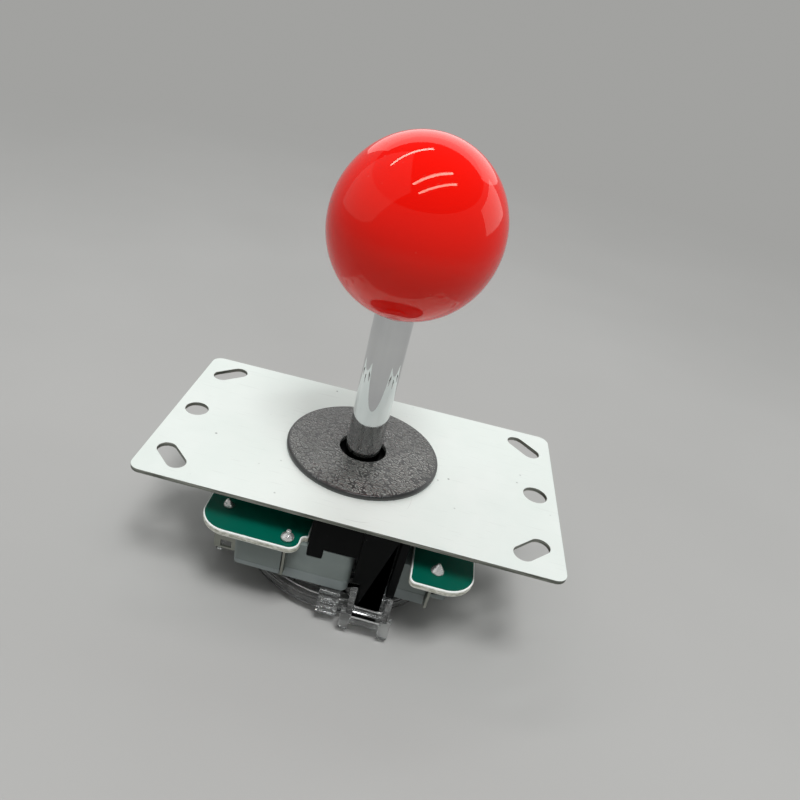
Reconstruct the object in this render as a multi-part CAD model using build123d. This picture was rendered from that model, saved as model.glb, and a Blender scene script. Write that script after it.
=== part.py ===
from build123d import *
import math
import os

os.makedirs("parts", exist_ok=True)

# Mounting plate, top face at z = 0
plate_length = 95.0
plate_width = 55.0
plate_thick = 1.0
plate_corner_r = 2.6
bolt_inset = 5.1
bolt_r = 2.85
slot_inset_x = 7.0
slot_inset_y = 7.5
slot_width = 4.5
slot_length = 9.7

# Lever, pivot and travel
tilt_deg = 9.0
pivot_z = -3.2
pivot_r = 8.5
shaft_r = 4.3
stem_r = 3.0
stud_length = 12.0
ball_r = 17.5
ball_z = 53.5
shaft_end_z = -30.5
run_fit = 0.05
clear = 0.3

# Dust washer
washer_r = 18.5
washer_thick = 1.1
washer_edge = 0.75
washer_bevel = 0.35

# Screws that hold the plate to the body
screw_circle_r = 14.8
screw_r = 1.5
screw_head_r = 2.6
screw_length = 7.0
screw_gap = 0.2
screw_boss_wall = 1.7

# Circuit board
board_top_z = -8.0
board_thick = 1.6
board_half = 30.6
notch_from = -6.2
notch_to = 16.8
notch_step = 1.4
notch_step_depth = 4.8
board_corner_r = 6.4
lobe_corner_r = 2.7
lobe_tip_r = 1.5
step_root_r = 1.0
notch_root_r = 3.0
pin_r = 0.5
pin_tip_z = -5.9
solder_r = 1.6
solder_height = 1.5

# Microswitches, drawn for the front side
switch_x0 = -24.2
switch_length = 28.9
switch_face_y = -26.8
switch_depth = 15.9
switch_thick = 10.9
switch_seam = 7.9
switch_wall = 1.6
switch_corner_r = 2.0
switch_guard = 1.5
switch_guard_lift = 1.6
switch_step_x = 2.2
switch_step_y = 4.8
switch_end_r = 1.3
switch_hole_inset = 4.4
switch_hole_r = 1.55
switch_hole_dx = 22.2
switch_hole_dy = 10.3
switch_post = 3.6
strip_width = 1.6
key_x0 = -6.0
key_width = 3.6
key_depth = 2.4
key_drop = 2.7
plunger_r = 1.6
plunger_travel = 1.0
plunger_reach = 1.9
blade_thick = 0.6
no_pin_x = -10.6
no_pin_y = -27.6
com_pin_x = -25.6
com_pin_y = -22.4
tag_reach = 2.8
tag_drop = 11.8
cut_tag_reach = 0.7
cut_tag_drop = 9.6
tag_bar = 0.8

# Main body
body_wall = 1.8
body_roof = 2.0
hub_wall = 1.9
leg_x0 = 5.4
leg_x1 = 13.3
rib_width = 1.9
rib_groove = 0.4
rib_end_z = -18.4
rib_inset = 0.6
leg_face_y = -27.6
leg_thick = 1.5
arm_proud = 0.1
body_corner_r = 2.0

# Clear gate
gate_deck = 1.9
gate_deck_r = 26.4
gate_flat_inset = 0.9
gate_skirt_inset = 4.9
gate_skirt_wall = 1.5
gate_corner_r = 5.0
gate_lip_wall = 1.5
gate_lip = 1.2
dial_r = 26.7
dial_wall = 1.6
dial_top_z = -24.8
dial_bottom_z = -28.0
dial_floor = 2.0
dial_groove = 0.8
dial_groove_depth = 0.6
dial_pocket = 0.9
dial_pocket_r = 14.6
dial_rim = 2.6
dial_rib = 1.4
dial_ribs = 8
latch_arm = 1.4
latch_depth = 1.4
latch_x0 = 5.6
latch_top_z = -16.3
latch_right_drop = 0.8
latch_gap = 0.5
latch_foot_z = -29.3
latch_foot = 2.5
latch_face_y = -29.8
latch_bar = 1.3
latch_bar_top_z = -21.9
latch_bar_gap = 2.4
lug_x0 = -1.3
lug_width = 4.9
lug_thick = 1.7
lug_frame = 0.9

# Actuator and spring
actuator_r = 8.4
actuator_foot_r = 6.4
actuator_end_z = -26.5
spring_r = 6.0
wire_r = 0.5
seat_thick = 0.8
clip_thick = 0.8
clip_r = 4.6

# Plug header on the board's top side
header_pin_spread = 8.0
header_pins = 5
header_margin = 1.7
header_depth = 7.6
header_height = 5.2
header_wall = 0.8
header_floor = 1.8
header_pin = 0.6
header_pin_inset = 0.9
header_hole_r = 0.45
header_overhang = 0.3

# Values that follow from the ones above
SIDES = {"front": 0, "right": 90, "back": 180, "left": 270}
tilt = math.radians(tilt_deg)
corner_tilt = math.acos(math.cos(tilt) ** 2)
plate_under_z = -plate_thick
bolt_x = plate_length / 2 - bolt_inset
slot_x = plate_length / 2 - slot_inset_x
slot_y = plate_width / 2 - slot_inset_y
lobe_end = notch_from - notch_step
notch_step_y = notch_step_depth - board_half
gate_flat = gate_deck_r - gate_flat_inset
gate_skirt_r = gate_deck_r - gate_skirt_inset
board_under_z = board_top_z - board_thick
switch_under_z = board_under_z - switch_thick
seam_z = board_under_z - switch_seam
slot_z = switch_under_z + switch_wall + 0.1
switch_x1 = switch_x0 + switch_length
switch_back_y = switch_face_y + switch_depth
step_x = switch_x0 + switch_step_x
step_y = switch_face_y + switch_step_y
guard_y = switch_face_y - switch_guard
guard_z = switch_under_z + switch_guard_lift
plunger_z = board_under_z - switch_thick / 2
hole_a = (switch_x0 + switch_hole_inset, switch_back_y - 2.6)
hole_b = (hole_a[0] + switch_hole_dx, hole_a[1] - switch_hole_dy)
strip_x0 = hole_a[0] + switch_post
hub_bore_r = pivot_r + run_fit
hub_r = hub_bore_r + hub_wall
hub_lower_r = -switch_back_y - 2 * clear
washer_hole_r = shaft_r / math.cos(corner_tilt) + (washer_thick - pivot_z) * math.tan(corner_tilt) + clear
ball_top_angle = math.asin((-clear - pivot_z) / pivot_r) - corner_tilt
shoulder_z = pivot_z + pivot_r * math.sin(ball_top_angle)
rim_angle = math.radians(37.5)
rim_z = pivot_z - pivot_r * math.cos(rim_angle)
rim_r = pivot_r * math.sin(rim_angle)
pivot_low_z = pivot_z - pivot_r * math.cos(rim_angle + corner_tilt)
seat_under_z = rim_z - seat_thick
seat_hole_r = stem_r / math.cos(corner_tilt) + (pivot_z - seat_under_z) * math.tan(corner_tilt) + clear
seat_r = spring_r + wire_r + 0.4
cup_rise = actuator_r * math.sin(corner_tilt)
actuator_top_z = pivot_z - (pivot_z - seat_under_z + 1.5 * clear + cup_rise) / math.cos(corner_tilt)
cup_floor_z = switch_under_z + 1.9
cup_end_z = cup_floor_z - 1.5
clip_z = actuator_end_z + 2.5
gate_half = actuator_foot_r * math.cos(tilt) + (pivot_z - actuator_end_z) * math.sin(tilt) + clear
ball_flat_z = ball_z - math.sqrt(ball_r ** 2 - shaft_r ** 2)
deck_half = notch_to
dial_floor_z = dial_bottom_z + dial_floor
latch_x1 = leg_x1 + latch_gap + latch_arm


def box(x0, x1, y0, y1, z0, z1):
    return Pos((x0 + x1) / 2, (y0 + y1) / 2, (z0 + z1) / 2) * Box(abs(x1 - x0), abs(y1 - y0), abs(z1 - z0))


def rod(r, x, y, z0, z1):
    return Pos(x, y, (z0 + z1) / 2) * Cylinder(r, abs(z1 - z0))


def cone(r0, r1, x, y, z0, z1):
    return Pos(x, y, (z0 + z1) / 2) * Cone(r0, r1, z1 - z0)


def turned(points):
    face = make_face(Polyline(*points, close=True))
    return revolve(Plane.XZ * face, Axis.Z, 360)


def around(shape):
    return [Rot(0, 0, a) * shape for a in SIDES.values()]


def screw_places():
    for k in range(4):
        a = math.radians(45 + 90 * k)
        yield screw_circle_r * math.cos(a), screw_circle_r * math.sin(a)


def near(shape, x, y):
    return shape.vertices().sort_by_distance((x, y, 0))[0]


def mounting_plate():
    sheet = RectangleRounded(plate_length, plate_width, plate_corner_r)
    sheet -= Pos(bolt_x, 0) * Circle(bolt_r)
    sheet -= Pos(-bolt_x, 0) * Circle(bolt_r)
    for sx in (-1, 1):
        for sy in (-1, 1):
            turn = -45 * sx * sy
            sheet -= Pos(sx * slot_x, sy * slot_y) * Rot(0, 0, turn) * SlotOverall(slot_length, slot_width)
    sheet -= Circle(hub_r + 0.15)
    plate = extrude(sheet, -plate_thick)
    for x, y in screw_places():
        plate -= rod(screw_r + screw_gap, x, y, plate_under_z, 0)
        plate -= cone(screw_r + screw_gap, screw_head_r, x, y, -(screw_head_r - screw_r - screw_gap), 0)
    return plate


def plate_screws():
    rise = screw_head_r - screw_r - screw_gap
    screws = []
    for x, y in screw_places():
        screw = rod(screw_r, x, y, -screw_length, -rise)
        screw += cone(screw_r + screw_gap, screw_head_r, x, y, -rise, 0)
        drive = [Pos(x, y, -0.5) * Rot(0, 0, a) * Box(2.6, 0.7, 1.2) for a in (0, 90)]
        screws.append(screw - drive)
    return Compound(children=screws)


def dust_washer():
    rim = washer_r - washer_bevel
    inner = washer_hole_r
    ease = washer_bevel / 2
    return turned([(inner, 0), (washer_r, 0), (washer_r, washer_edge), (rim, washer_thick),
                   (inner + ease, washer_thick), (inner, washer_thick - ease)])


def body_arm():
    x0 = key_x0 + 0.1
    x1 = leg_x1 + rib_width
    low = board_under_z + 0.2
    y0 = leg_face_y + leg_thick
    front = switch_face_y - arm_proud
    arm = box(x0, x1, front, -deck_half, low, plate_under_z)
    roof = plate_under_z - body_roof
    arm -= box(x0 + body_wall, x1 - body_wall, front + body_wall, -deck_half + 1, low - 1, roof)
    key = box(x0, x0 + key_width - 0.2, front, switch_face_y + key_depth - 0.1,
              board_under_z - key_drop + 0.1, low)
    wide = box(leg_x0, leg_x1 - rib_groove, leg_face_y, y0, latch_top_z + 0.2, plate_under_z)
    slim_x0 = latch_x0 + latch_arm + 0.2
    slim = box(slim_x0, leg_x1 - rib_groove, leg_face_y, y0, dial_bottom_z + 0.5, latch_top_z + 0.2)
    rib = box(leg_x1, x1, leg_face_y + rib_inset, switch_x0 - clear, rib_end_z, plate_under_z)
    side = box(leg_x0, leg_x0 + body_wall, y0, switch_face_y + 3.4, latch_top_z + 2, low)
    root = notch_root_r + 0.2
    arm -= box(x0 - 1, notch_from + root, -notch_to - root, 0, low - 1, board_top_z + 0.1)
    top = latch_bars()[0] - 0.1
    hook = Pos(0, leg_face_y, 0) * hook_wedge(top)
    return arm + key + wide + slim + rib + side + hook


def latch_bars():
    upper_top = latch_bar_top_z
    lower_top = upper_top - latch_bar - latch_bar_gap
    return upper_top - latch_bar, upper_top, lower_top - latch_bar, lower_top


def hook_wedge(top):
    height = latch_bars()[0] - latch_bars()[3] - 0.3
    side = make_face(Polyline((0, top), (-1.5, top), (-1.5, top - 0.4), (0, top - height), close=True))
    width = leg_x1 - rib_groove - latch_x0 - latch_arm - 0.6
    return Pos(latch_x0 + latch_arm + 0.4, 0, 0) * extrude(Plane.YZ * side, width)


def main_body():
    deck = Pos(0, 0, plate_under_z) * extrude(RectangleRounded(2 * deck_half, 2 * deck_half, body_corner_r),
                                             board_top_z - plate_under_z)
    inner = deck_half - body_wall
    body = deck - box(-inner, inner, -inner, inner, board_top_z - 1, plate_under_z - body_roof)
    body += rod(hub_r, 0, 0, board_top_z, -0.2)
    body += rod(hub_lower_r, 0, 0, pivot_low_z, board_top_z)
    body += cone(rim_r + 1.9, hub_lower_r, 0, 0, rim_z, pivot_low_z)
    for x, y in screw_places():
        body += rod(screw_r + screw_boss_wall, x, y, board_top_z, plate_under_z)
    for arm in around(body_arm()):
        body += arm
    body -= Pos(0, 0, pivot_z) * Sphere(hub_bore_r)
    body -= rod(hub_bore_r, 0, 0, pivot_z, 1)
    for x, y in screw_places():
        body -= rod(screw_r, x, y, -screw_length, 1)
    return body


def pin_places():
    for a in SIDES.values():
        c = math.cos(math.radians(a))
        s = math.sin(math.radians(a))
        for x, y in ((no_pin_x, no_pin_y), (com_pin_x, com_pin_y)):
            yield x * c - y * s, x * s + y * c


def header_places():
    for k in range(header_pins):
        x = header_mid()[0] + (k / (header_pins - 1) - 0.5) * header_pin_spread
        yield x, header_mid()[1] - header_depth + header_pin_inset


def header_mid():
    return -(no_pin_x + com_pin_x) / 2, board_half + header_overhang


def circuit_board():
    sheet = RectangleRounded(2 * board_half, 2 * board_half, board_corner_r)
    span = notch_to - notch_from
    deep = board_half - notch_to
    notch = Pos(notch_from + span / 2, -notch_to - deep / 2 - 1) * Rectangle(span, deep + 2)
    step = Rectangle(2 * notch_step, notch_step_depth + 2)
    notch += Pos(notch_from, notch_step_y - notch_step_depth / 2 - 1) * step
    for cut in around(notch):
        sheet -= cut
    for r, x, y in ((lobe_corner_r, lobe_end, -board_half), (step_root_r, lobe_end, notch_step_y),
                    (notch_root_r, notch_from, -notch_to), (lobe_tip_r, notch_to, -board_half)):
        for a in SIDES.values():
            c = round(math.cos(math.radians(a)))
            s = round(math.sin(math.radians(a)))
            sheet = fillet(near(sheet, x * c - y * s, x * s + y * c), r)
    sheet -= Circle(hub_lower_r + 0.25)
    for x, y in pin_places():
        sheet -= Pos(x, y) * Circle(pin_r + screw_gap)
    for x, y in header_places():
        sheet -= Pos(x, y) * Circle(header_hole_r)
    return Pos(0, 0, board_top_z) * extrude(sheet, -board_thick)


def solder_joints():
    cones = []
    for x, y in pin_places():
        joint = cone(solder_r, pin_r + 0.15, x, y, board_top_z, board_top_z + solder_height)
        cones.append(joint - rod(pin_r, x, y, board_top_z - 1, board_top_z + 5))
    return Compound(children=cones)


def switch_outline():
    guard_end = no_pin_x - blade_thick / 2 - screw_gap
    shape = make_face(Polyline((switch_x0, switch_back_y), (switch_x0, step_y), (step_x, step_y),
                               (step_x, guard_y), (guard_end, guard_y), (guard_end, switch_face_y),
                               (switch_x1, switch_face_y), (switch_x1, switch_back_y), close=True))
    for x, y in ((switch_x0, switch_back_y), (switch_x1, switch_back_y), (switch_x1, switch_face_y)):
        shape = fillet(near(shape, x, y), switch_corner_r)
    return fillet(near(shape, step_x, guard_y), switch_corner_r / 2)


def switch_block(z0, z1):
    block = Pos(0, 0, z1) * extrude(switch_outline(), z0 - z1)
    for x, y in (hole_a, hole_b):
        block -= rod(switch_hole_r, x, y, z0 - 1, z1 + 1)
    return block


def switch_room(z0, z1):
    w = switch_wall
    room = box(hole_a[0] + 3.2, switch_x1 - w, switch_face_y + w + 4.4, switch_back_y - w, z0, z1)
    return room + box(hole_a[0] + 3.2, hole_b[0] - 3.2, switch_face_y + w, switch_back_y - w, z0, z1)


def switch_base():
    base = switch_block(seam_z, board_under_z)
    base -= switch_room(seam_z - 1, board_under_z - switch_wall)
    base -= box(key_x0, key_x0 + key_width, switch_face_y - 1, switch_face_y + key_depth,
                board_under_z - key_drop, board_under_z + 1)
    base -= Pos(0, switch_back_y, plunger_z) * Rot(90, 0, 0) * Cylinder(plunger_r + run_fit, 4)
    return base


def switch_cover():
    cover = switch_block(switch_under_z, seam_z)
    cover -= switch_room(switch_under_z + switch_wall, seam_z + 1)
    cover -= box(step_x - 1, no_pin_x, guard_y - 1, switch_face_y, switch_under_z - 1, guard_z)
    cover -= rounded_end(guard_z, guard_y - 1, switch_face_y)
    return cover - terminal_slots() - rounded_end(switch_under_z, switch_face_y, step_y)


def rounded_end(low, y0, y1):
    x = step_x + switch_end_r
    z = low + switch_end_r
    corner = box(step_x - 1, x, y0, y1, low - 1, z)
    return corner - Pos(x, y1, z) * Rot(90, 0, 0) * Cylinder(switch_end_r, 40)


def terminal_slots():
    t = blade_thick / 2
    no_end = switch_face_y + switch_wall + 1
    no_slot = box(no_pin_x - t, no_pin_x + t, switch_face_y - 1, no_end, slot_z, seam_z)
    com_slot = box(step_x - 1, strip_x0, com_pin_y - t, com_pin_y + t, slot_z, seam_z)
    return no_slot + com_slot


def terminals(reach, drop):
    t = blade_thick / 2
    no_blade = box(no_pin_x - t, no_pin_x + t, no_pin_y - tag_bar, switch_face_y, guard_z, board_under_z)
    no_blade += box(no_pin_x - t, no_pin_x + t, no_pin_y, switch_face_y + switch_wall + 2.2, slot_z, seam_z)
    no_blade += rod(pin_r, no_pin_x, no_pin_y, board_under_z, pin_tip_z)
    com_low = board_under_z - drop
    hole_x0 = com_pin_x - reach + 2 * tag_bar
    com = box(com_pin_x - reach, step_x, com_pin_y - t, com_pin_y + t, com_low, board_under_z)
    if slot_z - com_low > 2 * tag_bar:
        com -= box(hole_x0, switch_x0, com_pin_y - 1, com_pin_y + 1, com_low + 0.75 * tag_bar, slot_z)
    com += box(com_pin_x, strip_x0 + strip_width, com_pin_y - t, com_pin_y + t, slot_z, seam_z)
    com += box(strip_x0, strip_x0 + strip_width, com_pin_y - t, blade_y() - t, slot_z, seam_z)
    com += rod(pin_r, com_pin_x, com_pin_y, board_under_z, pin_tip_z)
    return Compound(children=[no_blade, com])


def blade_y():
    return switch_back_y - switch_wall - 2 * plunger_travel - 3.0


def contact_blade():
    y = blade_y()
    leaf = box(strip_x0, plunger_r, y - blade_thick / 4, y, plunger_z - 1.4, plunger_z + 1.4)
    foot = box(strip_x0, strip_x0 + strip_width, y - blade_thick / 2, y - blade_thick / 4, slot_z, plunger_z)
    stud = box(no_pin_x - 0.9, no_pin_x + 0.9, y - 1.0, y - blade_thick / 4, plunger_z - 1, plunger_z + 1)
    return leaf + foot + stud


def plunger():
    tip = switch_back_y + plunger_reach
    flange = switch_back_y - switch_wall - plunger_travel - 0.1
    pin = Rot(90, 0, 0) * Cylinder(plunger_r, tip - flange)
    pin = fillet(pin.edges().group_by(Axis.Y)[-1], 0.4)
    head = Pos(0, flange - 0.5, plunger_z) * Box(2 * plunger_r + 1.6, 1.0, 2 * plunger_r)
    foot = Pos(0, flange - 1.2, plunger_z) * Box(1.6, 0.6, 2.4)
    return Pos(0, (tip + flange) / 2, plunger_z) * pin + head + foot


def latch():
    up_low, up_top, low_low, low_top = latch_bars()
    inner_y = leg_face_y + leg_thick + 0.2
    back_y = latch_face_y + latch_depth
    low = switch_under_z - gate_deck - 2
    left_foot = latch_x0 + latch_arm - latch_foot
    right_foot = latch_x1 - latch_arm + latch_foot
    left = box(latch_x0, latch_x0 + latch_arm, latch_face_y, back_y, latch_foot_z, latch_top_z)
    left += box(latch_x0, latch_x0 + latch_arm, latch_face_y, inner_y + 1.4, low, switch_under_z)
    left += latch_toe(left_foot, latch_x0 + latch_arm, up_low)
    right_top = latch_top_z - latch_right_drop
    right = box(latch_x1 - latch_arm, latch_x1, latch_face_y, back_y, latch_foot_z, right_top)
    right += box(latch_x1 - latch_arm, latch_x1, latch_face_y, inner_y + 1.4, low, switch_under_z)
    right += latch_toe(latch_x1 - latch_arm, right_foot, up_low)
    bars = box(latch_x0, latch_x1, latch_face_y, back_y, up_low, up_top)
    bars += box(latch_x0, latch_x1, latch_face_y, back_y, low_low, low_top)
    root = box(latch_x0, latch_x1, inner_y, inner_y + 3.2, low, switch_under_z)
    return left + right + bars + root


def latch_toe(x0, x1, top):
    toe = box(x0, x1, latch_face_y, latch_face_y + latch_depth, latch_foot_z, top)
    return fillet(toe.edges().filter_by(Axis.Y).group_by(Axis.Z)[0], latch_depth / 2)


def lug():
    y = -dial_r - 0.1
    x1 = lug_x0 + lug_width
    top = switch_under_z - 0.3
    low = dial_bottom_z + dial_groove / 2
    mid = (top + low) / 2
    f = lug_frame
    tab = box(lug_x0, x1, y - lug_thick, y, low, top)
    tab -= box(lug_x0 + f, x1 - f, y - 2 * lug_thick, y - f / 2, mid + f / 2, top - f)
    tab -= box(lug_x0 + f, x1 - f, y - 2 * lug_thick, y - f / 2, low + f, mid - f / 2)
    bridge = box(lug_x0, x1, y, -gate_deck_r + 3, switch_under_z - gate_deck, top)
    groove = dial_bottom_z + dial_groove
    bump = box(lug_x0, x1, y, y + dial_groove_depth, groove + 0.1, groove + dial_groove - 0.1)
    return tab + bridge + bump


def gate_frame():
    flat = Circle(gate_deck_r) & Rectangle(2 * gate_flat, 2 * gate_flat)
    frame = Pos(0, 0, switch_under_z) * extrude(flat, -gate_deck)
    frame += rod(gate_skirt_r, 0, 0, dial_floor_z, switch_under_z - gate_deck)
    frame -= rod(gate_skirt_r - gate_skirt_wall, 0, 0, dial_floor_z - 1, switch_under_z - gate_deck)
    frame -= rod(gate_half * math.sqrt(2) - 1.0, 0, 0, dial_floor_z - 1, switch_under_z + 1)
    for piece in around(latch()):
        frame += piece
    for piece in around(lug()):
        frame += piece
    for x, y in (hole_a, hole_b):
        for peg in around(rod(switch_hole_r - 0.1, x, y, switch_under_z, switch_under_z + 4.5)):
            frame += peg
    return frame


def restrictor():
    dial = rod(dial_r, 0, 0, dial_bottom_z, dial_top_z)
    dial -= rod(dial_r - dial_wall, 0, 0, dial_floor_z, dial_top_z + 1)
    gate = 2 * gate_half
    rim = gate + 2 * gate_lip_wall
    edge = RectangleRounded(rim, rim, gate_corner_r + gate_lip_wall)
    lip = extrude(Pos(0, 0, dial_floor_z) * edge, gate_lip)
    hole = extrude(RectangleRounded(gate, gate, gate_corner_r), 2 * dial_bottom_z)
    dial = dial + lip - hole
    groove_low = dial_bottom_z + dial_groove
    ring = rod(dial_r + 1, 0, 0, groove_low, groove_low + dial_groove)
    ring -= rod(dial_r - dial_groove_depth, 0, 0, 2 * dial_bottom_z, 0)
    return dial - ring - dial_pockets()


def dial_pockets():
    ring = Circle(dial_r - dial_rim) - Circle(dial_pocket_r)
    for k in range(dial_ribs // 2):
        ring -= Rot(0, 0, (k + 0.5) * 360 / dial_ribs) * Rectangle(2 * dial_r, dial_rib)
    return Pos(0, 0, dial_bottom_z) * extrude(ring, dial_pocket)


def header_shroud():
    x, y = header_mid()
    half = header_pin_spread / 2 + header_margin
    h = header_height
    w = header_wall
    p = header_pin / 2
    shell = box(x - half, x + half, y - header_depth, y, board_top_z, board_top_z + h)
    floor_y = y - header_depth + header_floor
    shell -= box(x - half + w, x + half - w, floor_y, y + 1, board_top_z + w, board_top_z + h - w)
    for px, py in header_places():
        shell -= box(px - p, px + p, py - p, y, header_pin_z() - p, header_pin_z() + p)
        shell -= box(px - p, px + p, py - p, py + p, board_top_z - 1, header_pin_z())
    return shell


def header_pin_z():
    return board_top_z + header_height / 2


def header_contacts():
    pins = []
    p = header_pin / 2
    for px, py in header_places():
        pin = box(px - p, px + p, py - p, header_mid()[1] - 1.5, header_pin_z() - p, header_pin_z() + p)
        pins.append(pin + box(px - p, px + p, py - p, py + p, board_under_z, header_pin_z()))
    return Compound(children=pins)


def pivot_ball():
    ball = Pos(0, 0, pivot_z) * Sphere(pivot_r)
    ball &= rod(pivot_r + 1, 0, 0, pivot_low_z, shoulder_z)
    return ball - rod(stem_r + run_fit, 0, 0, pivot_low_z - 1, shoulder_z + 1)


def spring_seat():
    low = seat_under_z
    return turned([(seat_hole_r, low), (seat_r, low), (seat_r, rim_z), (seat_hole_r, rim_z)])


def return_spring():
    low = cup_floor_z + wire_r + 0.05
    high = seat_under_z - wire_r - 0.05
    turns = 4
    path = Pos(0, 0, low) * Helix((high - low) / turns, high - low, spring_r)
    wire = Plane(path @ 0, z_dir=path % 0) * Circle(wire_r)
    return sweep(wire, path, is_frenet=True)


def lever_shaft():
    low = shoulder_z + run_fit
    groove_r = stem_r - 0.7
    return turned([(0, shaft_end_z), (stem_r - 0.6, shaft_end_z), (stem_r, shaft_end_z + 0.6),
                   (stem_r, clip_z - clip_thick), (groove_r, clip_z - clip_thick), (groove_r, clip_z),
                   (stem_r, clip_z), (stem_r, low), (shaft_r, low), (shaft_r, ball_flat_z),
                   (stem_r, ball_flat_z), (stem_r, ball_flat_z + stud_length - 0.6),
                   (stem_r - 0.6, ball_flat_z + stud_length), (0, ball_flat_z + stud_length)])


def actuator():
    slope = math.tan(tilt)
    cup_end_r = actuator_r - slope * (actuator_top_z - cup_end_z)
    bore = stem_r + 0.02
    cup_r = spring_r + wire_r + 0.2
    return turned([(bore, clip_z), (clip_r + 0.4, clip_z), (clip_r + 0.4, actuator_end_z),
                   (actuator_foot_r - 0.3, actuator_end_z), (actuator_foot_r, actuator_end_z + 0.3),
                   (actuator_foot_r, cup_end_z - 0.8), (cup_end_r, cup_end_z), (actuator_r, actuator_top_z),
                   (cup_r, actuator_top_z), (cup_r, cup_floor_z), (bore, cup_floor_z)])


def e_clip():
    disc = Circle(clip_r) - Circle(stem_r - 0.7)
    disc -= Pos(0, -clip_r) * Rectangle(2 * stem_r - 1.7, 2 * clip_r)
    for a in (70, 290):
        disc -= Rot(0, 0, a + 90) * Pos(stem_r - 0.2, 0) * Circle(0.9)
    return Pos(0, 0, clip_z) * extrude(disc, -clip_thick)


def ball_top():
    ball = Pos(0, 0, ball_z) * Sphere(ball_r)
    ball -= rod(ball_r, 0, 0, ball_z - 2 * ball_r, ball_flat_z)
    return ball - rod(shaft_r - 0.2, 0, 0, ball_flat_z - 1, ball_flat_z + stud_length + 1)


def ball_insert():
    top = ball_flat_z + stud_length + 1
    sleeve = rod(shaft_r - 0.2, 0, 0, ball_flat_z, top)
    return sleeve - rod(stem_r, 0, 0, ball_flat_z - 1, ball_flat_z + stud_length)


def save(name, shape):
    export_step(shape, os.path.join("parts", name + ".step"))


save("mounting_plate", mounting_plate())
save("plate_screws", plate_screws())
save("dust_washer", dust_washer())
save("main_body", main_body())
save("circuit_board", circuit_board())
save("solder_joints", solder_joints())
for side, angle in SIDES.items():
    turn = Rot(0, 0, angle)
    save("switch_base_" + side, turn * switch_base())
    save("switch_cover_" + side, turn * switch_cover())
    tag = (tag_reach, tag_drop) if side == "front" else (cut_tag_reach, cut_tag_drop)
    save("switch_terminals_" + side, turn * terminals(*tag))
    save("switch_blade_" + side, turn * contact_blade())
    save("switch_plunger_" + side, turn * plunger())
save("gate_frame", gate_frame())
save("restrictor", restrictor())
save("header_shroud", header_shroud())
save("header_contacts", header_contacts())
save("pivot_ball", pivot_ball())
save("spring_seat", spring_seat())
save("return_spring", return_spring())
save("lever_shaft", lever_shaft())
save("actuator", actuator())
save("e_clip", e_clip())
save("ball_top", ball_top())
save("ball_insert", ball_insert())
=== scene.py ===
import bpy
import math
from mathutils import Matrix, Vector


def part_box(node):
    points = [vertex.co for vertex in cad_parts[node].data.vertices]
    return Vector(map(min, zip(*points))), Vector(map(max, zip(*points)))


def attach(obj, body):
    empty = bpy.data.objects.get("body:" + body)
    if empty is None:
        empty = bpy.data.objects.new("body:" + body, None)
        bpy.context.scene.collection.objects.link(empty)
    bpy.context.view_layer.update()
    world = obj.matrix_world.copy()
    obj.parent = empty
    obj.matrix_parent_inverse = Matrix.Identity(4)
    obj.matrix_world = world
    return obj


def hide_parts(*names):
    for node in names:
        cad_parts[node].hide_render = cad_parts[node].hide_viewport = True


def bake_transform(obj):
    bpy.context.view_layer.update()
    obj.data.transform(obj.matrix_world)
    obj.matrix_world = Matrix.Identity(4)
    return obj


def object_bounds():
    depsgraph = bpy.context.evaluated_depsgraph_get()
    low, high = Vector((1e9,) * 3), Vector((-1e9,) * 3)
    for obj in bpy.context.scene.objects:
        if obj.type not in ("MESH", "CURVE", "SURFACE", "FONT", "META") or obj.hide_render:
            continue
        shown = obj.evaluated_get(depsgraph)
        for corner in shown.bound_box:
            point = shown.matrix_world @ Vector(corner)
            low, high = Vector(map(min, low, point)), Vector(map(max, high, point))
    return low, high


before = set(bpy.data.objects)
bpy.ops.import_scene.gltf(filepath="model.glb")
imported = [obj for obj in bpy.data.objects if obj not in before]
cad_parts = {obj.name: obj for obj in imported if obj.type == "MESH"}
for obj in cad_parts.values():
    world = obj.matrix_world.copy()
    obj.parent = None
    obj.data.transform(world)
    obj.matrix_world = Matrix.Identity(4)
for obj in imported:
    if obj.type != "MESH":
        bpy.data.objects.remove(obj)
cad_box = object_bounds()
mm = 0.001
weld_gap = 0.002 * mm
flat_angle = 0.6


# Selecting and finishing pieces by hand
def drop_selection():
    if bpy.context.mode != "OBJECT":
        bpy.ops.object.mode_set(mode="OBJECT")
    bpy.ops.object.select_all(action="DESELECT")


def take(piece):
    drop_selection()
    piece.select_set(True)
    bpy.context.view_layer.objects.active = piece


def settle(piece):
    take(piece)
    bpy.ops.object.transform_apply(location=True, rotation=True, scale=True)


def edit_all(piece):
    take(piece)
    bpy.ops.object.mode_set(mode="EDIT")
    bpy.ops.mesh.select_all(action="SELECT")


def leave_edit():
    bpy.ops.object.mode_set(mode="OBJECT")


def turn_faces_out():
    bpy.ops.mesh.select_all(action="SELECT")
    bpy.ops.mesh.normals_make_consistent(inside=False)
    leave_edit()


def finish_with(piece, kind, **values):
    take(piece)
    mod = piece.modifiers.new(kind.lower(), kind)
    for key, value in values.items():
        setattr(mod, key, value)
    bpy.ops.object.modifier_apply(modifier=mod.name)


def smooth(piece, degrees):
    take(piece)
    bpy.ops.object.shade_smooth_by_angle(angle=math.radians(degrees))


def paint(piece, material):
    piece.data.materials.clear()
    piece.data.materials.append(material)


def dress(piece, body, slot, material, *nodes):
    paint(piece, material)
    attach(piece, body)
    if nodes:
        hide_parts(*nodes)


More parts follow.
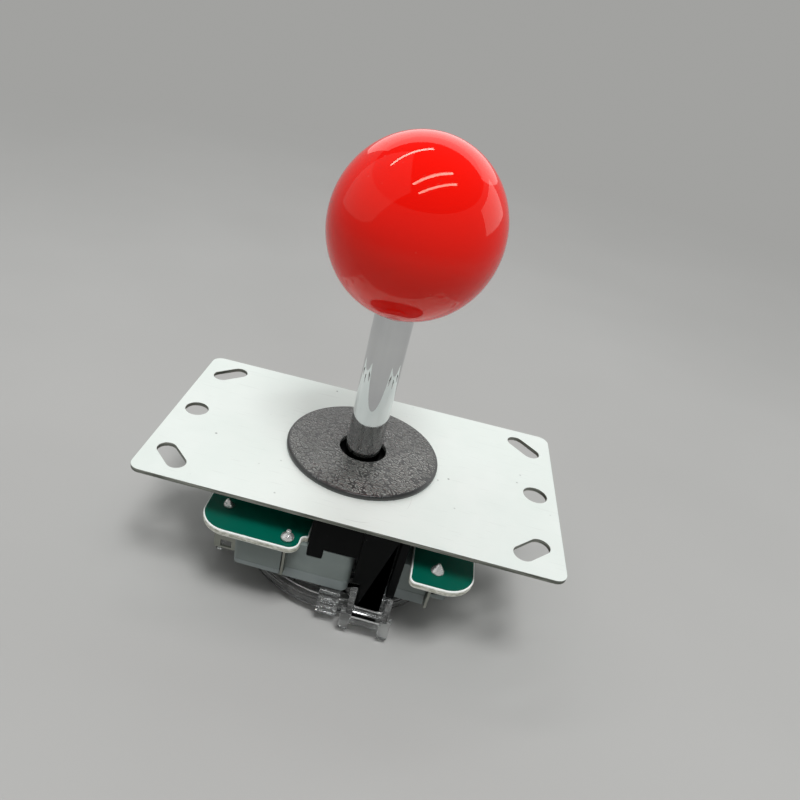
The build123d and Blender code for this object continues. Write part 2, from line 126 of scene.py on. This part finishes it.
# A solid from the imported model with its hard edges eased, as a moulded or cut piece has them
def eased(node, name, ease, segments=2, limit=34):
    piece = bpy.data.objects.new(name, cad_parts[node].data.copy())
    bpy.context.scene.collection.objects.link(piece)
    edit_all(piece)
    bpy.ops.mesh.remove_doubles(threshold=weld_gap)
    bpy.ops.mesh.dissolve_limited(angle_limit=math.radians(flat_angle))
    leave_edit()
    finish_with(piece, "BEVEL", width=ease * mm, segments=segments, limit_method="ANGLE",
                angle_limit=math.radians(limit), use_clamp_overlap=False, loop_slide=False)
    smooth(piece, 26)
    finish_with(piece, "WEIGHTED_NORMAL", mode="FACE_AREA", weight=100, keep_sharp=True)
    return piece


# Draws the selected ring of edges out to each next ring, radius and height in millimetres
def draw_out(r, z, rings):
    for next_r, next_z in rings:
        bpy.ops.mesh.extrude_edges_move(TRANSFORM_OT_translate={"value": (0, 0, (next_z - z) * mm)})
        if next_r != r:
            grow = next_r / r
            bpy.ops.transform.resize(value=(grow, grow, 1), center_override=(0, 0, next_z * mm))
        r, z = next_r, next_z


# A lathe-turned piece: a circle drawn out ring by ring
def turned(name, rings, sides=96, close_start=True, close_end=True):
    drop_selection()
    r, z = rings[0]
    bpy.ops.mesh.primitive_circle_add(vertices=sides, radius=r * mm, location=(0, 0, z * mm),
                                      fill_type="NGON" if close_start else "NOTHING")
    piece = bpy.context.object
    piece.name = name
    settle(piece)
    bpy.ops.object.mode_set(mode="EDIT")
    bpy.ops.mesh.select_mode(type="EDGE")
    bpy.ops.mesh.select_all(action="SELECT")
    draw_out(r, z, rings[1:])
    if close_end:
        bpy.ops.mesh.edge_face_add()
    turn_faces_out()
    return piece


# Shader building blocks
vector_socket, float_socket = "NodeSocketVector", "NodeSocketFloat"


def group(name, inputs, outputs):
    tree = bpy.data.node_groups.new(name, "ShaderNodeTree")
    tree.interface.new_socket("Vector", in_out="INPUT", socket_type=vector_socket)
    for label, value in inputs.items():
        socket = tree.interface.new_socket(label, in_out="INPUT", socket_type=float_socket)
        socket.default_value = value
    for label in outputs:
        tree.interface.new_socket(label, in_out="OUTPUT", socket_type=float_socket)
    return tree, tree.nodes.new("NodeGroupInput"), tree.nodes.new("NodeGroupOutput")


def math_node(tree, operation, a, b=None, clamp=False):
    node = tree.nodes.new("ShaderNodeMath")
    node.operation = operation
    node.use_clamp = clamp
    for k, v in enumerate((a, b)):
        if v is None:
            continue
        if isinstance(v, (int, float)):
            node.inputs[k].default_value = v
        else:
            tree.links.new(v, node.inputs[k])
    return node.outputs[0]


def mix_colour(tree, factor, a, b, blend="MIX"):
    node = tree.nodes.new("ShaderNodeMix")
    node.data_type = "RGBA"
    node.blend_type = blend
    for k, v in ((0, factor), (6, a), (7, b)):
        if isinstance(v, (int, float)):
            node.inputs[k].default_value = v
        elif isinstance(v, tuple):
            node.inputs[k].default_value = (*v, 1)
        else:
            tree.links.new(v, node.inputs[k])
    return node.outputs[2]


def stretch(tree, value, low, high, out_low=0.0, out_high=1.0):
    node = tree.nodes.new("ShaderNodeMapRange")
    node.inputs[1].default_value = low
    node.inputs[2].default_value = high
    node.inputs[3].default_value = out_low
    node.inputs[4].default_value = out_high
    tree.links.new(value, node.inputs[0])
    return node.outputs[0]


def noise(tree, where, scale, detail=4.0, rough=0.55, warp=0.0):
    node = tree.nodes.new("ShaderNodeTexNoise")
    node.inputs["Detail"].default_value = detail
    node.inputs["Roughness"].default_value = rough
    node.inputs["Distortion"].default_value = warp
    if isinstance(scale, (int, float)):
        node.inputs["Scale"].default_value = scale
    else:
        tree.links.new(scale, node.inputs["Scale"])
    tree.links.new(where, node.inputs["Vector"])
    return node.outputs["Fac"]


def mapped(tree, where, scale, turn=(0, 0, 0)):
    mapping = tree.nodes.new("ShaderNodeMapping")
    mapping.inputs["Rotation"].default_value = turn
    mapping.inputs["Scale"].default_value = scale
    tree.links.new(where, mapping.inputs["Vector"])
    return mapping.outputs["Vector"]


def place(tree, scale=(1, 1, 1), turn=(0, 0, 0)):
    coords = tree.nodes.new("ShaderNodeTexCoord")
    return mapped(tree, coords.outputs["Object"], scale, turn)


def distance(tree, where, centre=(0, 0, 0)):
    node = tree.nodes.new("ShaderNodeVectorMath")
    node.operation = "DISTANCE"
    node.inputs[1].default_value = centre
    tree.links.new(where, node.inputs[0])
    return node.outputs["Value"]


# How level a face lies: 1 on a flat top, 0 on an upright cut edge
def levelness(tree, normal):
    geometry = tree.nodes.new("ShaderNodeNewGeometry")
    split = tree.nodes.new("ShaderNodeSeparateXYZ")
    tree.links.new(geometry.outputs[normal], split.inputs[0])
    return math_node(tree, "ABSOLUTE", split.outputs[2])


def make_mould_grain():
    tree, gin, gout = group("mould_grain", {"Scale": 1500.0}, ("Cloud", "Height"))
    fine = noise(tree, gin.outputs["Vector"], gin.outputs["Scale"], 3.0, 0.6)
    broad_scale = math_node(tree, "MULTIPLY", gin.outputs["Scale"], 0.06)
    broad = noise(tree, gin.outputs["Vector"], broad_scale, 3.0, 0.5, 0.4)
    tree.links.new(stretch(tree, broad, 0.3, 0.7), gout.inputs["Cloud"])
    tree.links.new(fine, gout.inputs["Height"])
    return tree


def make_scratches():
    tree, gin, gout = group("fine_scratches", {"Amount": 0.5}, ("Mask",))
    lines = None
    for turn, scale in ((0.4, 90.0), (1.9, 130.0), (2.7, 70.0)):
        along = mapped(tree, gin.outputs["Vector"], (scale, scale * 22, scale * 4), (0, 0, turn))
        cut = stretch(tree, noise(tree, along, 1.0, 1.0, 0.4, 0.3), 0.70, 0.76)
        lines = cut if lines is None else math_node(tree, "MAXIMUM", lines, cut)
    tree.links.new(math_node(tree, "MULTIPLY", lines, gin.outputs["Amount"], True), gout.inputs["Mask"])
    return tree


def make_dust():
    tree, gin, gout = group("dust_specks", {"Scale": 500.0, "Amount": 0.5}, ("Mask",))
    cells = tree.nodes.new("ShaderNodeTexVoronoi")
    tree.links.new(gin.outputs["Vector"], cells.inputs["Vector"])
    tree.links.new(gin.outputs["Scale"], cells.inputs["Scale"])
    spots = stretch(tree, cells.outputs["Distance"], 0.11, 0.05)
    patch = stretch(tree, noise(tree, gin.outputs["Vector"], 140.0, 2.0), 0.55, 0.62)
    specks = math_node(tree, "MULTIPLY", spots, patch)
    tree.links.new(math_node(tree, "MULTIPLY", specks, gin.outputs["Amount"], True), gout.inputs["Mask"])
    return tree


mould_grain = make_mould_grain()
fine_scratches = make_scratches()
dust_specks = make_dust()


def new_material(name, **sockets):
    material = bpy.data.materials.new(name)
    material.use_nodes = True
    tree = material.node_tree
    shader = tree.nodes["Principled BSDF"]
    for label, value in sockets.items():
        shader.inputs[label.replace("_", " ")].default_value = value
    return material, tree, shader


def use(tree, grouped, where, **values):
    node = tree.nodes.new("ShaderNodeGroup")
    node.node_tree = grouped
    tree.links.new(where, node.inputs["Vector"])
    for label, value in values.items():
        node.inputs[label].default_value = value
    return node


def bump(tree, shader, height, strength, depth):
    node = tree.nodes.new("ShaderNodeBump")
    node.inputs["Strength"].default_value = strength
    node.inputs["Distance"].default_value = depth
    tree.links.new(height, node.inputs["Height"])
    tree.links.new(node.outputs["Normal"], shader.inputs["Normal"])


# Finishes of the pieces
def moulded(name, dark, light, rough_low, rough_high, grain, strength, dust, **sockets):
    material, tree, shader = new_material(name, **sockets)
    where = place(tree)
    skin = use(tree, mould_grain, where, Scale=grain)
    specks = use(tree, dust_specks, where, Scale=620.0, Amount=dust)
    colour = mix_colour(tree, skin.outputs["Cloud"], dark, light)
    colour = mix_colour(tree, specks.outputs["Mask"], colour, (0.5, 0.5, 0.48))
    tree.links.new(colour, shader.inputs["Base Color"])
    rough = stretch(tree, skin.outputs["Cloud"], 0, 1, rough_low, rough_high)
    tree.links.new(rough, shader.inputs["Roughness"])
    bump(tree, shader, skin.outputs["Height"], strength, 0.00006)
    return material


def metal(name, dark, light, rough_low, rough_high, scratch, strength=0.12, depth=0.00004, metallic=1.0):
    material, tree, shader = new_material(name, Metallic=metallic)
    where = place(tree)
    skin = use(tree, mould_grain, where, Scale=1300.0)
    lines = use(tree, fine_scratches, where, Amount=scratch)
    tree.links.new(mix_colour(tree, skin.outputs["Cloud"], dark, light), shader.inputs["Base Color"])
    rough = stretch(tree, skin.outputs["Cloud"], 0, 1, rough_low, rough_high)
    rough = math_node(tree, "ADD", rough, math_node(tree, "MULTIPLY", lines.outputs["Mask"], 0.2), True)
    tree.links.new(rough, shader.inputs["Roughness"])
    bump(tree, shader, skin.outputs["Height"], strength, depth)
    return material


# Plated steel with a faint ring where the loose washer has rubbed, and darker sheared edges
def plated_sheet():
    rub_centre = (0.00125, -0.01345, 0)
    rub_r = 0.0124
    material, tree, shader = new_material("plated_sheet", Metallic=0.4)
    where = place(tree)
    skin = use(tree, mould_grain, where, Scale=900.0)
    lines = use(tree, fine_scratches, where, Amount=0.2)
    specks = use(tree, dust_specks, where, Scale=300.0, Amount=0.8)
    off_ring = math_node(tree, "SUBTRACT", distance(tree, where, rub_centre), rub_r)
    rub = stretch(tree, math_node(tree, "ABSOLUTE", off_ring), 0.00012, 0.00003)
    rub = math_node(tree, "MULTIPLY", rub, stretch(tree, noise(tree, where, 75.0, 1.0), 0.50, 0.60), True)
    mark_mask = math_node(tree, "MAXIMUM", lines.outputs["Mask"], math_node(tree, "MULTIPLY", rub, 0.7))
    cut = stretch(tree, levelness(tree, "Normal"), 0.6, 0.3)
    colour = mix_colour(tree, skin.outputs["Cloud"], (0.76, 0.825, 0.785), (0.835, 0.89, 0.855))
    colour = mix_colour(tree, mark_mask, colour, (0.58, 0.62, 0.60))
    colour = mix_colour(tree, specks.outputs["Mask"], colour, (0.25, 0.27, 0.26))
    shear = stretch(tree, noise(tree, place(tree, (160, 160, 2600)), 1.0, 4.0), 0.35, 0.65)
    edge = mix_colour(tree, shear, (0.10, 0.11, 0.09), (0.34, 0.35, 0.31))
    tree.links.new(mix_colour(tree, cut, colour, edge), shader.inputs["Base Color"])
    rough = stretch(tree, skin.outputs["Cloud"], 0, 1, 0.46, 0.60)
    tree.links.new(rough, shader.inputs["Roughness"])
    bump(tree, shader, skin.outputs["Height"], 0.18, 0.00005)
    return material


# Black plastic with a pressed leather grain: painted glints along the pebble rims (partly wear), painted
# shade in the creases, and a plain rim painted near black as a dark reflection
def leather_disc(edge_r):
    material, tree, shader = new_material("leather_grain_disc", Specular_IOR_Level=1.0)
    plain = place(tree)
    drawn = mapped(tree, place(tree, (1, 1, 1), (0, 0, 0.55)), (0.62, 1.2, 1.0))
    warp = noise(tree, plain, 420.0, 2.0)
    cells = tree.nodes.new("ShaderNodeTexVoronoi")
    cells.feature = "DISTANCE_TO_EDGE"
    cells.inputs["Scale"].default_value = 1000.0
    tree.links.new(mix_colour(tree, 0.0016, drawn, warp, "ADD"), cells.inputs["Vector"])
    apart = cells.outputs["Distance"]
    pebble = stretch(tree, apart, 0.0, 0.22)
    # Painted shade: the creases between the pebbles are painted near black
    crease_shade = stretch(tree, apart, 0.11, 0.04)
    # A light band along each pebble's rim: painted glints, partly wear
    mark_mask = math_node(tree, "MULTIPLY", stretch(tree, apart, 0.27, 0.17), stretch(tree, apart, 0.09, 0.15))
    patch = stretch(tree, noise(tree, plain, 120.0, 1.0), 0.35, 0.65, 0.35, 1.0)
    skin = use(tree, mould_grain, plain, Scale=3200.0)
    # The plain rim band is painted near black: a painted dark reflection on the rounded edge
    rim = stretch(tree, distance(tree, place(tree, (1, 1, 0))), edge_r - 0.75 * mm, edge_r - 0.55 * mm)
    colour = mix_colour(tree, skin.outputs["Cloud"], (0.049, 0.053, 0.047), (0.068, 0.073, 0.066))
    colour = mix_colour(tree, math_node(tree, "MULTIPLY", mark_mask, patch), colour, (0.27, 0.275, 0.258))
    colour = mix_colour(tree, crease_shade, colour, (0.006, 0.006, 0.006))
    tree.links.new(mix_colour(tree, rim, colour, (0.009, 0.010, 0.010)), shader.inputs["Base Color"])
    tree.links.new(stretch(tree, skin.outputs["Cloud"], 0, 1, 0.24, 0.34), shader.inputs["Roughness"])
    height = math_node(tree, "ADD", pebble, math_node(tree, "MULTIPLY", skin.outputs["Height"], 0.35))
    flat = math_node(tree, "SUBTRACT", 1.0, rim)
    bump(tree, shader, math_node(tree, "MULTIPLY", height, flat), 1.0, 0.00007)
    return material


def polished_red():
    material, tree, shader = new_material("polished_red_ball", IOR=1.47, Specular_IOR_Level=0.46,
                                          Specular_Tint=(1.0, 0.86, 0.68, 1.0))
    where = place(tree)
    skin = use(tree, mould_grain, where, Scale=260.0)
    lines = use(tree, fine_scratches, where, Amount=0.25)
    specks = use(tree, dust_specks, where, Scale=420.0, Amount=0.06)
    colour = mix_colour(tree, skin.outputs["Cloud"], (0.92, 0.004, 0.001), (0.97, 0.007, 0.002))
    colour = mix_colour(tree, specks.outputs["Mask"], colour, (0.85, 0.45, 0.42))
    tree.links.new(colour, shader.inputs["Base Color"])
    rough = math_node(tree, "ADD", math_node(tree, "MULTIPLY", lines.outputs["Mask"], 0.12), 0.03, True)
    tree.links.new(rough, shader.inputs["Roughness"])
    bump(tree, shader, skin.outputs["Height"], 0.012, 0.0001)
    return material


# Green lacquer on the faces, pale fibre along the cut edge, and a painted highlight: the upward-facing lip of
# the edge is painted near white
def board_laminate():
    material, tree, shader = new_material("green_board", Specular_IOR_Level=0.3)
    where = place(tree)
    skin = use(tree, mould_grain, where, Scale=700.0)
    level = levelness(tree, "True Normal")
    cut = stretch(tree, level, 0.985, 0.96)
    face = mix_colour(tree, skin.outputs["Cloud"], (0.0, 0.088, 0.058), (0.0, 0.114, 0.077))
    fibre = stretch(tree, noise(tree, place(tree, (900, 900, 2600)), 1.0, 3.0), 0.36, 0.64)
    wall = mix_colour(tree, fibre, (0.42, 0.43, 0.35), (0.84, 0.84, 0.76))
    # Painted highlight: the more a bevel face turns upward, the nearer white it is painted
    lip = stretch(tree, level, 0.15, 0.5)
    edge = mix_colour(tree, lip, wall, (0.93, 0.96, 0.94))
    tree.links.new(mix_colour(tree, cut, face, edge), shader.inputs["Base Color"])
    tree.links.new(stretch(tree, cut, 0, 1, 0.22, 0.75), shader.inputs["Roughness"])
    bump(tree, shader, skin.outputs["Height"], 0.10, 0.00005)
    return material


def clear_moulding():
    material, tree, shader = new_material("clear_moulding", Transmission_Weight=0.97, IOR=1.58)
    where = place(tree)
    skin = use(tree, mould_grain, where, Scale=500.0)
    lines = use(tree, fine_scratches, where, Amount=0.5)
    colour = mix_colour(tree, skin.outputs["Cloud"], (0.94, 0.96, 0.96), (0.99, 1.0, 1.0))
    tree.links.new(colour, shader.inputs["Base Color"])
    rough = math_node(tree, "ADD", math_node(tree, "MULTIPLY", lines.outputs["Mask"], 0.12), 0.02, True)
    tree.links.new(rough, shader.inputs["Roughness"])
    bump(tree, shader, skin.outputs["Height"], 0.015, 0.0001)
    return material


washer_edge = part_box("dust_washer")[1]
steel_sheet = plated_sheet()
washer_skin = leather_disc(washer_edge[0])
red = polished_red()
board_green = board_laminate()
clear = clear_moulding()
chrome = metal("bright_chrome", (0.62, 0.63, 0.64), (0.70, 0.71, 0.71), 0.03, 0.06, 0.25, 0.02)
solder_metal = metal("bright_solder", (0.78, 0.78, 0.77), (0.94, 0.94, 0.93), 0.14, 0.30, 0.2, 0.6,
                     depth=0.0002, metallic=0.8)
tinned = metal("tinned_strip", (0.22, 0.23, 0.20), (0.34, 0.35, 0.31), 0.25, 0.42, 0.5)
spring_wire = metal("spring_wire", (0.50, 0.51, 0.52), (0.66, 0.66, 0.67), 0.22, 0.38, 0.4)
dark_steel = metal("dark_steel", (0.18, 0.18, 0.19), (0.30, 0.30, 0.31), 0.30, 0.45, 0.4)
brass = metal("turned_brass", (0.62, 0.46, 0.20), (0.78, 0.60, 0.30), 0.22, 0.36, 0.4)
copper = metal("copper_strip", (0.66, 0.36, 0.20), (0.80, 0.48, 0.30), 0.25, 0.40, 0.4)
screw_steel = metal("screw_steel", (0.50, 0.50, 0.51), (0.66, 0.66, 0.66), 0.24, 0.40, 0.5)
black = moulded("black_moulding", (0.0020, 0.0025, 0.0025), (0.0045, 0.0050, 0.0050), 0.40, 0.54,
                1700.0, 0.3, 0.10, Specular_IOR_Level=0.06)
slick_black = moulded("slick_black", (0.006, 0.006, 0.006), (0.012, 0.012, 0.013), 0.28, 0.40,
                      1400.0, 0.2, 0.1)
grey = moulded("switch_grey", (0.175, 0.21, 0.20), (0.225, 0.265, 0.255), 0.34, 0.48, 1900.0, 0.22, 0.15)
cover_grey = moulded("cover_grey", (0.215, 0.25, 0.25), (0.27, 0.31, 0.31), 0.34, 0.48, 1900.0, 0.22, 0.15)
ivory = moulded("ivory_moulding", (0.72, 0.69, 0.58), (0.82, 0.79, 0.68), 0.32, 0.45, 1500.0, 0.2, 0.1)
white = moulded("white_plunger", (0.74, 0.72, 0.66), (0.84, 0.82, 0.76), 0.28, 0.40, 1500.0, 0.2, 0.1)


# The plate, its screws and the washer
sheet = eased("mounting_plate", "plate_sheet", 0.08)
dress(sheet, "housing", "plate_steel", steel_sheet, "mounting_plate")
screws = eased("plate_screws", "plate_screw_set", 0.1, 1)
dress(screws, "housing", "screw_steel", screw_steel, "plate_screws")

washer_r, washer_top = washer_edge[0] / mm, washer_edge[2] / mm
washer_hole = 5.68
disc = turned("washer_disc", [
    (washer_hole, 0.0), (washer_r - 0.06, 0.0), (washer_r, 0.08), (washer_r, 0.60),
    (washer_r - 0.05, 0.76), (washer_r - 0.18, washer_top - 0.16), (washer_r - 0.34, washer_top - 0.04),
    (washer_r - 0.50, washer_top), (washer_hole + 0.35, washer_top), (washer_hole + 0.08, washer_top - 0.10),
    (washer_hole, washer_top - 0.28), (washer_hole, 0.0)], 192, False, False)
edit_all(disc)
bpy.ops.mesh.remove_doubles(threshold=weld_gap)
turn_faces_out()
smooth(disc, 40)
dress(disc, "housing", "washer_black", washer_skin, "dust_washer")

# The ball: a sphere cut off at the neck, its rim drawn up into the socket for the shaft
ball_low, ball_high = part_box("ball_top")
ball_r = ball_high[0]
ball_z = ball_high[2] - ball_r
neck = ball_low[2] / mm
socket_r, socket_depth = 4.1, 4.0
drop_selection()
bpy.ops.mesh.primitive_uv_sphere_add(segments=160, ring_count=96, radius=ball_r, location=(0, 0, ball_z))
ball = bpy.context.object
ball.name = "red_ball"
settle(ball)
edit_all(ball)
bpy.ops.mesh.bisect(plane_co=(0, 0, ball_low[2]), plane_no=(0, 0, -1), clear_outer=True, use_fill=False)
bpy.ops.mesh.select_mode(type="EDGE")
bpy.ops.mesh.select_all(action="DESELECT")
bpy.ops.mesh.select_non_manifold()
leave_edit()
rim_r = max(v.co.xy.length for v in ball.data.vertices if v.select) / mm
bpy.ops.object.mode_set(mode="EDIT")
draw_out(rim_r, neck, [
    (socket_r + 0.06, neck + 0.05), (socket_r, neck + 0.3), (socket_r, neck + socket_depth)])
bpy.ops.mesh.edge_face_add()
turn_faces_out()
smooth(ball, 40)
dress(ball, "lever", "ball_red", red, "ball_top")

# The shaft: a thin stem with the clip's groove, a shoulder, the bright rod and a spigot in the ball
shaft_low, shaft_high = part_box("lever_shaft")
foot, tip = shaft_low[2] / mm, shaft_high[2] / mm
clip_low, clip_high = [corner[2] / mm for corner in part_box("e_clip")]
shaft_r, stem_r, groove_r = shaft_high[0] / mm, 3.0, 2.3
shoulder = -2.08
shaft = turned("chrome_shaft", [
    (stem_r - 0.8, foot), (stem_r - 0.25, foot + 0.15), (stem_r, foot + 0.55), (stem_r, clip_low),
    (groove_r, clip_low), (groove_r, clip_high), (stem_r, clip_high), (stem_r, shoulder),
    (shaft_r - 0.15, shoulder), (shaft_r, shoulder + 0.15), (shaft_r, neck - 0.25), (shaft_r - 0.2, neck),
    (stem_r, neck), (stem_r, tip - 0.5), (stem_r - 0.5, tip)], 128)
smooth(shaft, 30)
dress(shaft, "lever", "shaft_chrome", chrome, "lever_shaft")

# The other pieces of the lever, pivot, body, board, gate and plug
for node, name, ease, body, slot, skin in (
        ("ball_insert", "ball_insert_sleeve", 0.12, "lever", "insert_brass", brass),
        ("actuator", "actuator_cup", 0.25, "lever", "actuator_black", slick_black),
        ("e_clip", "retaining_clip", 0.12, "lever", "clip_steel", dark_steel),
        ("pivot_ball", "pivot_bearing", 0.25, "pivot", "pivot_black", slick_black),
        ("spring_seat", "spring_seat_ring", 0.15, "housing", "seat_black", slick_black),
        ("main_body", "black_body", 0.22, "housing", "body_black", black),
        ("circuit_board", "green_board_sheet", 0.32, "housing", "board_green", board_green),
        ("gate_frame", "clear_gate_frame", 0.20, "housing", "clear_plastic", clear),
        ("restrictor", "clear_gate_dial", 0.20, "housing", "clear_plastic", clear),
        ("header_shroud", "plug_shroud", 0.12, "housing", "header_ivory", ivory),
        ("header_contacts", "plug_pins", 0.06, "housing", "pin_metal", tinned)):
    dress(eased(node, name, ease), body, slot, skin, node)

# The coil spring between the seat and the lever's cup, eased and painted, its placement baked into its mesh;
# it rides on no body and does not bend
coil = eased("return_spring", "coil_spring", 0.02)
paint(coil, spring_wire)
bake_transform(coil)
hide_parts("return_spring")

# Solder round each pin: a drop and a peak are modelled once, then copied, leaned and crumpled
board_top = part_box("circuit_board")[1][2]
drop = turned("solder_drop", [
    (1.22, 0.0), (1.33, 0.22), (1.33, 0.45), (1.20, 0.74), (0.98, 1.04), (0.73, 1.32), (0.48, 1.56),
    (0.33, 1.70), (0.34, 1.82), (0.47, 1.96), (0.52, 2.14), (0.46, 2.34), (0.22, 2.48)], 24)
peak = turned("solder_peak", [
    (1.22, 0.0), (1.30, 0.20), (1.20, 0.50), (1.02, 0.84), (0.84, 1.18), (0.68, 1.50), (0.52, 1.80),
    (0.36, 2.06), (0.14, 2.24)], 24)
front_pins = ((-10.6, -27.6), (-25.6, -22.4))
for k, (start, grow, lean) in enumerate((
        (drop, 1.16, 0.03), (peak, 1.06, 0.10), (peak, 1.12, 0.10), (peak, 1.20, 0.02),
        (drop, 1.08, 0.08), (peak, 1.15, 0.04), (peak, 1.10, -0.09), (drop, 1.14, 0.05))):
    x, y = front_pins[k % 2]
    for quarter_turn in range(k // 2):
        x, y = -y, x
    take(start)
    bpy.ops.object.duplicate(linked=False)
    cone = bpy.context.object
    cone.name = "solder_bell_%d" % (k + 1)
    bpy.ops.object.mode_set(mode="EDIT")
    bpy.ops.mesh.select_mode(type="VERT")
    for level in (0.4, 0.8, 1.3):
        bpy.ops.mesh.select_all(action="DESELECT")
        leave_edit()
        for v in cone.data.vertices:
            v.select = v.co.z > level * mm
        bpy.ops.object.mode_set(mode="EDIT")
        bpy.ops.transform.translate(value=(lean * mm, -0.7 * lean * mm, 0))
    crumple = 0.05 if start == drop else 0.10
    bpy.ops.mesh.select_all(action="SELECT")
    bpy.ops.transform.vertex_random(offset=crumple * mm, seed=5 * k + 1)
    bpy.ops.mesh.vertices_smooth(factor=0.25)
    bpy.ops.transform.resize(value=(grow, grow, 1), center_override=(0, 0, 0))
    bpy.ops.transform.rotate(value=1.3 * k, orient_axis="Z", center_override=(0, 0, 0))
    bpy.ops.transform.translate(value=(x * mm, y * mm, board_top))
    leave_edit()
    finish_with(cone, "SUBSURF", levels=1)
    smooth(cone, 60)
    dress(cone, "housing", "solder", solder_metal)
    if k == 0:
        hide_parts("solder_joints")
for start in (drop, peak):
    take(start)
    bpy.ops.object.delete()

# The four switches, their tags cut off just above the board where the solder covers them
tag_end = board_top + 0.2 * mm
for side in ("front", "right", "back", "left"):
    for node, name, ease, body, slot, skin in (
            ("switch_base_", "switch_case_", 0.15, "housing", "switch_grey", grey),
            ("switch_cover_", "switch_lid_", 0.15, "housing", "cover_grey", cover_grey),
            ("switch_terminals_", "switch_tags_", 0.08, "housing", "terminal_metal", tinned),
            ("switch_blade_", "switch_leaf_", 0.04, "housing", "blade_copper", copper),
            ("switch_plunger_", "switch_button_", 0.08, "plunger_" + side, "plunger_white", white)):
        piece = eased(node + side, name + side, ease)
        if node == "switch_terminals_":
            edit_all(piece)
            bpy.ops.mesh.bisect(plane_co=(0, 0, tag_end), plane_no=(0, 0, 1), clear_outer=True, use_fill=True)
            leave_edit()
        dress(piece, body, slot, skin, node + side)


# Floor, light and camera
def pale_floor():
    material, tree, shader = new_material("pale_floor", Roughness=0.75, Specular_IOR_Level=0.2)
    where = place(tree)
    cloud = stretch(tree, noise(tree, where, 6.0, 3.0), 0.3, 0.7)
    colour = mix_colour(tree, cloud, (0.40, 0.40, 0.39), (0.43, 0.43, 0.42))
    tree.links.new(colour, shader.inputs["Base Color"])
    seen = tree.nodes.new("ShaderNodeLightPath")
    rays = math_node(tree, "MAXIMUM", seen.outputs["Is Camera Ray"], seen.outputs["Is Glossy Ray"])
    rays = math_node(tree, "MAXIMUM", rays, seen.outputs["Is Transmission Ray"])
    far = stretch(tree, distance(tree, where), 0.22, 0.65)
    glow = tree.nodes.new("ShaderNodeEmission")
    glow.inputs["Color"].default_value = (0.36, 0.36, 0.35, 1)
    mix = tree.nodes.new("ShaderNodeMixShader")
    tree.links.new(math_node(tree, "MULTIPLY", far, rays), mix.inputs[0])
    tree.links.new(shader.outputs[0], mix.inputs[1])
    tree.links.new(glow.outputs[0], mix.inputs[2])
    tree.links.new(mix.outputs[0], tree.nodes["Material Output"].inputs["Surface"])
    return material


floor_gap = 0.2 * mm
bowl = turned("studio_floor", [
    (100, 0), (1200, 0), (1500, 40), (1750, 180), (1900, 450), (1950, 900), (1960, 1500)], close_end=False)
bowl.location = (0, 0, cad_box[0][2] - floor_gap)
settle(bowl)
edit_all(bowl)
bpy.ops.mesh.flip_normals()
leave_edit()
smooth(bowl, 60)
bowl.data.materials.append(pale_floor())


def radians(turn):
    return [math.radians(angle) for angle in turn]


def lamp(name, at, turn, size, depth, power):
    light = bpy.data.lights.new(name, "AREA")
    light.shape = "RECTANGLE"
    light.size = size
    light.size_y = depth
    light.energy = power
    thing = bpy.data.objects.new(name, light)
    thing.location = at
    thing.rotation_euler = radians(turn)
    bpy.context.scene.collection.objects.link(thing)
    return thing


lamp("ceiling_tube_1", (-0.342, 0.308, 0.95), (0, 0, 29), 0.72, 0.05, 1.3)
lamp("ceiling_tube_2", (0.058, -0.177, 0.95), (0, 0, 40), 0.75, 0.05, 1.3)
lamp("ceiling_tube_3", (0.205, -0.352, 0.95), (0, 0, 42), 0.81, 0.05, 1.3)
left = lamp("left_soft", (-1.05, -0.22, 0.85), (0, -52, 0), 1.90, 1.70, 3.4)
back = lamp("back_soft", (0.15, 1.50, 0.80), (-62, 0, 0), 2.60, 1.45, 11.0)
right = lamp("right_soft", (1.40, 0.72, 0.55), (70, 0, 117), 1.20, 0.70, 2.6)
fill = lamp("front_fill", (0.12, -0.29, 1.00), (17, 0, 22.5), 0.30, 0.30, 6.3)
for soft in (left, back, right):
    soft.visible_camera = False
fill.visible_glossy = False

world = bpy.data.worlds.new("studio_air")
world.use_nodes = True
air = world.node_tree.nodes["Background"]
air.inputs["Color"].default_value = (0.86, 0.88, 0.90, 1)
air.inputs["Strength"].default_value = 0.13
bpy.context.scene.world = world
bpy.context.scene.view_settings.view_transform = "Standard"

eye = bpy.data.cameras.new("photo_camera")
eye.sensor_width = 36.0
eye.lens = 28.137
eye.shift_x = 0.09325
eye.shift_y = 0.06386
eye.clip_start = 0.01
camera = bpy.data.objects.new("photo_camera", eye)
camera.location = (0.00347, -0.1252, 0.08697)
camera.rotation_euler = radians((53.9524, -9.0916, 12.1752))
bpy.context.scene.collection.objects.link(camera)
bpy.context.scene.camera = camera
